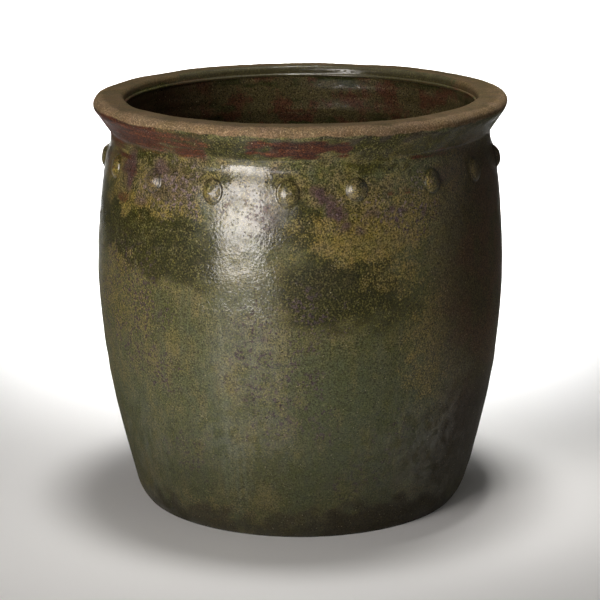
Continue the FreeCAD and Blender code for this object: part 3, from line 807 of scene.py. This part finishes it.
def glaze_gloss(tree, noise):
    """Roughness and coat weight: dull in the mauve, the shade, the collar, the wash and low down."""
    low = tree.times(tree.step(tree.height, *GLOSS_FALLS), 0.5)
    bead = tree.times(tree.mask("bore"), tree.step(tree.height, *BEAD_SHINES))
    hollow_side = tree.most(tree.mask("inside"), bead)
    collar = tree.sum("SUBTRACT", tree.step(tree.height, *COLLAR_DULLS), hollow_side, clamp=True)
    rough_places = tree.most(noise.mauve, tree.mask("dark"), tree.mask("dusk"), collar)
    dull = tree.most(rough_places, low, tree.times(noise.wash, 0.6))
    dry = tree.mask("dry")
    worn = tree.step(tree.noise("wear"), 0.49, 0.6)
    coat = tree.times_plus(tree.step(noise.stipple, 0.42, 0.6), -0.16, 0.8)
    coat = tree.times_plus(dull, -0.56, tree.times_plus(worn, -0.3, coat))
    coat = tree.times(coat, tree.times_plus(noise.pits, -0.8, 1.0), clamp=True)
    coat = tree.times(coat, tree.times_plus(dry, -0.95, 1.0), clamp=True)
    roughness = tree.times_plus(noise.smooth_neck, -0.24, tree.times_plus(noise.stipple, 0.2, 0.44))
    return tree.times_plus(tree.most(rough_places, dry), 0.3, roughness), coat


def glaze_normal(tree, noise):
    """Swells, orange peel that comes and goes, and the pits."""
    peel = tree.times_plus(tree.step(tree.noise("waves"), 0.36, 0.66), 0.4, 0.25)
    peel = tree.times_plus(tree.step(tree.height, *PEEL_GROWS), 0.4, peel)
    normal = tree.bump(tree.noise("swells"), SWELL_DEPTH)
    normal = tree.bump(tree.times(noise.ripple, peel), RIPPLE_DEPTH, normal)
    return tree.bump(noise.pits, PIT_DEPTH, normal)


def glaze_shader(tree):
    """The reactive glaze, from place and stains."""
    noise = GlazeNoise(tree)
    roughness, coat = glaze_gloss(tree, noise)
    normal = glaze_normal(tree, noise)
    shader = tree.add("BsdfPrincipled", {
        "Base Color": glaze_tint(tree, noise), "Roughness": roughness, "Normal": normal, "IOR": 1.5,
        "Specular IOR Level": 0.17, "Coat Weight": coat, "Coat Roughness": 0.05, "Coat IOR": 1.5,
        "Coat Normal": normal})
    return shader.outputs["BSDF"]


CLAY_TAN = (0.092, 0.061, 0.028)
CLAY_OLIVE = (0.071, 0.051, 0.022)
CLAY_PINK = (0.132, 0.087, 0.045)
CLAY_PALE = (0.188, 0.133, 0.076)
CLAY_DARK = (0.07, 0.044, 0.023)
CLAY_BAND_DEPTH = 0.0003
CLAY_CRUMB_DEPTH = 0.0004


def clay_shader(tree):
    """The bare fired clay, smooth and dark on top and gritty at the edge."""
    grit, crumbs, blotch = tree.noise("grit"), tree.noise("crumbs"), tree.noise("blotches")
    bands = tree.noise("clay_bands")
    edge = tree.mask("edge")
    top = tree.layered(CLAY_OLIVE, (tree.step(blotch, 0.38, 0.64), CLAY_TAN),
                       (tree.times(tree.step(bands, 0.5, 0.7), 0.5), CLAY_PINK))
    side = tree.layered(CLAY_TAN, (tree.step(blotch, 0.3, 0.6), CLAY_PINK),
                        (tree.step(crumbs, 0.5, 0.66), CLAY_PALE))
    ragged = tree.times_plus(tree.sum("SUBTRACT", blotch, 0.5), 1.6, edge)
    chips = tree.times(tree.step(tree.cells(CHIP_SCALE), 0.2, 0.1), 0.6)
    tint = tree.layered(top, (tree.step(ragged, 0.25, 0.75), side), (chips, CLAY_DARK))
    shade = tree.times_plus(tree.sum("SUBTRACT", grit, 0.5), 2.2, 1.0)
    tint = tree.shaded(tint, tree.most(shade, 0.35))
    tint = tree.scaled(tint, tree.hues(CLAY_HUE_SCALE, 0.2, 0.5))
    normal = tree.bump(crumbs, CLAY_CRUMB_DEPTH, tree.bump(bands, CLAY_BAND_DEPTH))
    roughness = tree.times_plus(grit, 0.1, tree.times_plus(edge, 0.15, 0.62))
    shader = tree.add("BsdfPrincipled", {
        "Base Color": tint, "Roughness": roughness, "Normal": normal, "IOR": 1.45,
        "Specular IOR Level": 0.2})
    return shader.outputs["BSDF"]


GLAZE_EDGE = SEAT_HEIGHT + 0.005
GLAZE_EDGE_SOFT = (-0.0006, 0.001)
GLAZE_WAVER = 0.012


def make_pot_material(name):
    """Glaze below the edge height and bare clay above it, with a wavering line between."""
    tree = Tree(name)
    waver = tree.times_plus(tree.noise("glaze_edge"), GLAZE_WAVER, -GLAZE_WAVER / 2)
    above = tree.sum("SUBTRACT", tree.sum("ADD", tree.height, waver), GLAZE_EDGE)
    bore_waver = tree.sum("SUBTRACT", tree.noise("bore_edge"), 0.5)
    glazed_bore = tree.times_plus(bore_waver, 1.4, tree.mask("bore"))
    bare = tree.times(tree.step(above, *GLAZE_EDGE_SOFT), tree.step(glazed_bore, 0.68, 0.48))
    mixed = tree.add("MixShader", {0: bare, 1: glaze_shader(tree), 2: clay_shader(tree)})
    tree.add("OutputMaterial", {"Surface": mixed.outputs[0]})
    return tree.material


materials = {"glaze": make_pot_material("reactive_glaze"), "bare_clay": make_pot_material("bare_clay")}


# Courses

SLAB_RIDGE = outline[ROWS["foot_seam"][0]][0] - WALL / 2
BELLY_RIDGE = BELLY_RADIUS - WALL / 2
NECK_RIDGE = (outline[ROWS["neck_seam"][0]][0] + THROAT_RADIUS) / 2
SEAT_RIDGE = (SEAT_RADIUS + LIP_BORE) / 2

# From below: name, the stretches that it runs from and to outside, and those inside, from the top
COURSES = [
    ("floor_slab", "foot", "foot_seam", "inner_lower", "floor"),
    ("lower_wall", "foot_seam", "belly_seam", "inner_upper", "inner_lower"),
    ("upper_wall", "belly_seam", "neck_seam", "throat", "inner_upper"),
    ("flared_collar", "neck_seam", "lip_seam", "throat_seam", "throat")]
JOINTS = [(SLAB_RIDGE, FLOOR_TOP), (BELLY_RIDGE, BELLY_HEIGHT), (NECK_RIDGE, CREASE_HEIGHT),
          (SEAT_RIDGE, SEAT_HEIGHT)]
bottom_joint = None
for (name, outer_first, outer_last, inner_first, inner_last), joint in zip(COURSES, JOINTS):
    make_course(name, (ROWS[outer_first][0], ROWS[outer_last][0]), ridge(*joint),
                (ROWS[inner_first][1], ROWS[inner_last][1]), bottom_joint, "glaze")
    bottom_joint = groove(*joint)
make_course("rim_lip", (ROWS["lip_seam"][0], ROWS["lip"][1]), None, None, bottom_joint, "bare_clay")


# Studs

STUD_SEED = 200
STUD_COLUMNS = 72
STUD_RINGS = 16
STUD_FIRST_RING_SHARE = 0.04
STUD_EDGE_SHARE = 0.98
STUD_EDGE_STAND_SHARE = 0.22
# Where the dome's edge darkens: pooled glaze and painted shade at the stud's foot
STUD_EDGE_DARK_SHARES = (0.88, 1.0)
STUD_FOOT_SHARES = (0.998, 0.17)
STUD_BACK_SHARES = (0.99, -0.5)
STUD_OVAL_SHARE = 0.02
STUD_CORNER_SHARE = 0.015
STUD_TURN = 3.0
STUD_LUMP = 0.0003
STUD_LEAN = 0.0005
STUD_LUMP_FROM_SHARE = 0.3
MENISCUS = 0.0036
MENISCUS_STAND_SHARE = 0.13
MENISCUS_SINK_SHARE = 0.03
MENISCUS_RING_SHARES = (0.0, 0.15, 0.3, 0.45, 0.6, 0.8, 1.0)
# Where the pool round the stud darkens: pooled glaze and painted shade in the crease
MENISCUS_DARK_SHARES = (0.15, 0.75)
outer_end = ROWS["lip_seam"][0] + 1


def wall_point(azimuth, height, outward):
    """A place on the wall outside, with its relief, and some way out from it."""
    radius = np.interp(height, outline[:outer_end, 1], outline[:outer_end, 0])
    lean = np.arcsin((height - BELLY_HEIGHT) / SHOULDER_ARC)
    proud = outer_relief(azimuth, height) + outward
    return to_space(radius + proud * np.cos(lean), height + proud * np.sin(lean), azimuth)


def stud_profile(curve):
    """Shares of the stud's radius, of its stand and of the meniscus, and how dark the pooled glaze and
    painted shade lie there, from the middle out to the wall and round the back."""
    rows = []
    for turn in np.linspace(STUD_FIRST_RING_SHARE, 1.0, STUD_RINGS) * math.pi / 2:
        across = math.sin(turn)
        stand = 1 - (1 - STUD_EDGE_STAND_SHARE) * across ** curve
        rows.append((STUD_EDGE_SHARE * across, stand, 0.0, smooth_step(*STUD_EDGE_DARK_SHARES, across)))
    rows.append((*STUD_FOOT_SHARES, 0.0, 1.0))
    for share in MENISCUS_RING_SHARES:
        stand = MENISCUS_STAND_SHARE * (1 - share) ** 2 - MENISCUS_SINK_SHARE * share
        rows.append((1.0, stand, share, 1 - smooth_step(*MENISCUS_DARK_SHARES, share)))
    rows.append((*STUD_BACK_SHARES, 0.0, 0.0))
    return rows


def stud_rings(stud, dice):
    """Rings of the stud's points from its middle outwards, and how dark the pooled glaze and painted shade
    lie on each.
    """
    sway = dice.uniform(-1, 1, (4, 2)) * STUD_TURN
    turns = np.arange(STUD_COLUMNS) * 2 * math.pi / STUD_COLUMNS
    oval = STUD_OVAL_SHARE * np.cos(2 * turns + sway[0, 0])
    wobble = 1 + oval + STUD_CORNER_SHARE * np.cos(3 * turns + sway[0, 1])
    rings, rims = [], []
    for share, stand_share, spread_share, rim in stud_profile(stud.curve):
        reach = share * wobble
        spread = MENISCUS * spread_share
        slide = np.array(stud.apex) * (1 - share)
        aside = np.sin(turns) * (reach * stud.half_width + spread) + slide[0] * stud.half_width
        upward = np.cos(turns) * (reach * stud.half_height + spread) + slide[1] * stud.half_height
        outward = stud.stand * stand_share + 0 * turns
        if stand_share > STUD_LUMP_FROM_SHARE:
            outward += STUD_LUMP * share * (1 - share) * 4 * np.cos(2 * turns + sway[1, 0])
            outward += STUD_LEAN * share * np.cos(turns + sway[1, 1])
        rings.append(wall_point(stud.azimuth + aside / BELLY_RADIUS, stud.height + upward, outward))
        rims.append(rim)
    return rings, rims


def stud_faces(count):
    """Faces of a stud with so many rings, a point in front and a point behind."""
    faces = []
    last = 1 + (count - 1) * STUD_COLUMNS
    back = last + STUD_COLUMNS
    for column in range(STUD_COLUMNS):
        beside = (column + 1) % STUD_COLUMNS
        faces.append((0, 1 + beside, 1 + column))
        for here in range(1, last, STUD_COLUMNS):
            there = here + STUD_COLUMNS
            faces.append((here + column, here + beside, there + beside, there + column))
        faces.append((last + column, last + beside, back))
    return faces


def make_stud_piece(index, stud):
    """One stud: a dome with its own wobble, in a pool of glaze that runs out to the wall."""
    rings, rims = stud_rings(stud, np.random.default_rng(STUD_SEED + index))
    apex_azimuth = stud.azimuth + stud.apex[0] * stud.half_width / BELLY_RADIUS
    apex_height = stud.height + stud.apex[1] * stud.half_height
    front = wall_point(np.array([apex_azimuth]), np.array([apex_height]), stud.stand)
    back = wall_point(np.array([stud.azimuth]), np.array([stud.height]), STUD_BACK_SHARES[1] * STUD_STAND)
    points = np.concatenate([front, *rings, back])
    values = stains(np.arctan2(points[:, 0], -points[:, 1]), points[:, 2])
    # Painted shade with pooled glaze, darkest where the dome meets the wall
    values["rim"] = np.array([0.0, *np.repeat(rims, STUD_COLUMNS), 0.0])
    values["inside"] = np.zeros(len(points))
    new_piece(stud.name, points, stud_faces(len(rings)), values, "glaze")


for index, stud in enumerate(studs):
    make_stud_piece(index, stud)


# Floor

FLOOR_REACH = 14.0
FLOOR = ((0.87, 0.87, 0.87), (0.9, 0.9, 0.895))


def make_floor():
    """The plain pale studio floor."""
    mesh = bpy.data.meshes.new("studio_floor")
    floor = new_object("studio_floor", mesh)
    corners = [(x * FLOOR_REACH, y * FLOOR_REACH, 0) for x, y in ((-1, -1), (1, -1), (1, 1), (-1, 1))]
    mesh.from_pydata(corners, [], [(0, 1, 2, 3)])
    tree = Tree("studio_floor")
    tint = tree.blend(tree.noise("floor"), *FLOOR)
    shader = tree.add("BsdfPrincipled", {"Base Color": tint, "Roughness": 0.9, "Specular IOR Level": 0.2})
    tree.add("OutputMaterial", {"Surface": shader.outputs["BSDF"]})
    mesh.materials.append(tree.material)


make_floor()


# Light

NEUTRAL = (1, 1, 1)
KEY_TINT = (1, 0.948, 0.915)
WING_TINT = (1, 0.96, 0.94)
TOP_TINT = (1, 0.97, 0.93)
POOL_TINT = (1, 0.985, 0.96)
LIP_TINT = (1, 0.98, 0.94)
FILL_TINT = (1, 0.95, 0.88)
GLOW_TINT = (1, 0.96, 0.9)
WORLD_TINT = (1, 0.97, 0.93, 1.0)
WORLD_STRENGTH = 0.05
KEY_DEGREES = -30
KEY_DISTANCE = 1.7
KEY_HEIGHT = 0.915
KEY_LIFT = 0.25
KEY_SIZE = (0.68, 1.45)
KEY_WATTS = 15.6
KEY_SPREAD = 100
WING_HEIGHT = 0.61
WING_TALL = 0.22
REFLECTOR_HEIGHT = 0.02
REFLECTOR_LEAN = 0.97

# Name, azimuth in degrees, width and watts of the low strips beside the key softbox
WINGS = [("left_wing", -49, 0.46, 0.34), ("right_wing", -11.5, 0.46, 0.42)]

# Near end, far end, width, watts and azimuth in degrees of the panels that stand for the lit table top
REFLECTORS = [
    (1.15, 2.2, 0.68, 4.8, -27.5), (0.62, 1.15, 0.5, 1.4, -26), (0.36, 0.62, 0.34, 0.25, -25)]


def aim(item, target):
    """Turn a lamp or the camera to a target."""
    direction = Vector(target) - item.location
    item.rotation_euler = direction.to_track_quat("-Z", "Y").to_euler()


def round_place(degrees, reach, height):
    """A place round the pot, at an azimuth in degrees."""
    return (reach * math.sin(math.radians(degrees)), -reach * math.cos(math.radians(degrees)), height)


def new_lamp(name, kind, place, target, watts, tint):
    """A lamp that the camera doesn't see."""
    lamp = bpy.data.lights.new(name, kind)
    lamp.energy = watts
    lamp.color = tint
    item = new_object(name, lamp)
    item.location = place
    item.visible_camera = False
    aim(item, target)
    return lamp


def add_softbox(name, place, target, size, watts, tint, spread=180):
    lamp = new_lamp(name, "AREA", place, target, watts, tint)
    lamp.shape = "RECTANGLE"
    lamp.size, lamp.size_y = size
    lamp.spread = math.radians(spread)


def add_spot(name, place, target, radius, watts, tint, degrees, soft_share):
    lamp = new_lamp(name, "SPOT", place, target, watts, tint)
    lamp.shadow_soft_size = radius
    lamp.spot_size = math.radians(degrees)
    lamp.spot_blend = soft_share


add_softbox("key_softbox", round_place(KEY_DEGREES, KEY_DISTANCE, KEY_HEIGHT),
            (0, 0, KEY_HEIGHT + KEY_LIFT), KEY_SIZE, KEY_WATTS, KEY_TINT, KEY_SPREAD)
for name, turn, width, watts in WINGS:
    add_softbox(name, round_place(turn, KEY_DISTANCE, WING_HEIGHT), (0, 0, WING_HEIGHT),
                (width, WING_TALL), watts, WING_TINT, KEY_SPREAD)
add_softbox("top_softbox", (0.0, 0.05, 1.35), (0, 0, 0), (0.8, 0.8), 1.2, TOP_TINT)
add_spot("pool_light", (0.0, 0.12, 3.2), (0, 0.1, 0), 0.3, 200, POOL_TINT, 31, 0.8)
add_spot("lip_light", (0.3, -0.1, 1.9), (0.25, -0.06, 0.56), 0.08, 30, LIP_TINT, 21, 1.0)
add_softbox("near_back_light", (0.0, 2.1, 1.3), (0, 2.1, 0), (0.95, 2.0), 40, NEUTRAL, 64)
add_softbox("far_back_light", (0.0, 4.5, 1.7), (0, 4.5, 0), (2.0, 2.6), 85, NEUTRAL, 76)
add_softbox("middle_floor_light", (0.0, 0.8, 1.5), (0, 0.8, 0), (0.7, 0.3), 4.5, NEUTRAL, 50)
add_softbox("right_fill", (2.4, -0.65, 1.1), (0, 0, 0.4), (3.2, 2.4), 4.8, FILL_TINT)
for near, far, width, watts, turn in REFLECTORS:
    place = round_place(turn, (near + far) / 2, REFLECTOR_HEIGHT)
    above = (place[0] * REFLECTOR_LEAN, place[1] * REFLECTOR_LEAN, 1.0)
    add_softbox(f"table_glow_{round(near * 100)}", place, above, (width, far - near), watts, GLOW_TINT)

world = bpy.data.worlds.new("studio")
world.use_nodes = True
background = world.node_tree.nodes["Background"]
background.inputs["Color"].default_value = WORLD_TINT
background.inputs["Strength"].default_value = WORLD_STRENGTH
bpy.context.scene.world = world
bpy.context.scene.view_settings.view_transform = "Standard"


# Camera, at the photograph's angle

CAMERA_DISTANCE = 3.08
CAMERA_RISE = math.radians(14.677)
CAMERA_AIM_HEIGHT = 0.2671
FOCAL_PIXELS = 2219.8
PHOTO_PIXELS = 600
MIDDLE_PIXEL = 300.4
SENSOR = 36.0

camera_data = bpy.data.cameras.new("camera")
camera_data.sensor_width = SENSOR
camera_data.lens = FOCAL_PIXELS * SENSOR / PHOTO_PIXELS
camera_data.shift_x = (PHOTO_PIXELS / 2 - MIDDLE_PIXEL) / PHOTO_PIXELS
camera = new_object("camera", camera_data)
camera.location = (0, -CAMERA_DISTANCE * math.cos(CAMERA_RISE),
                   CAMERA_AIM_HEIGHT + CAMERA_DISTANCE * math.sin(CAMERA_RISE))
aim(camera, (0, 0, CAMERA_AIM_HEIGHT))
bpy.context.scene.camera = camera
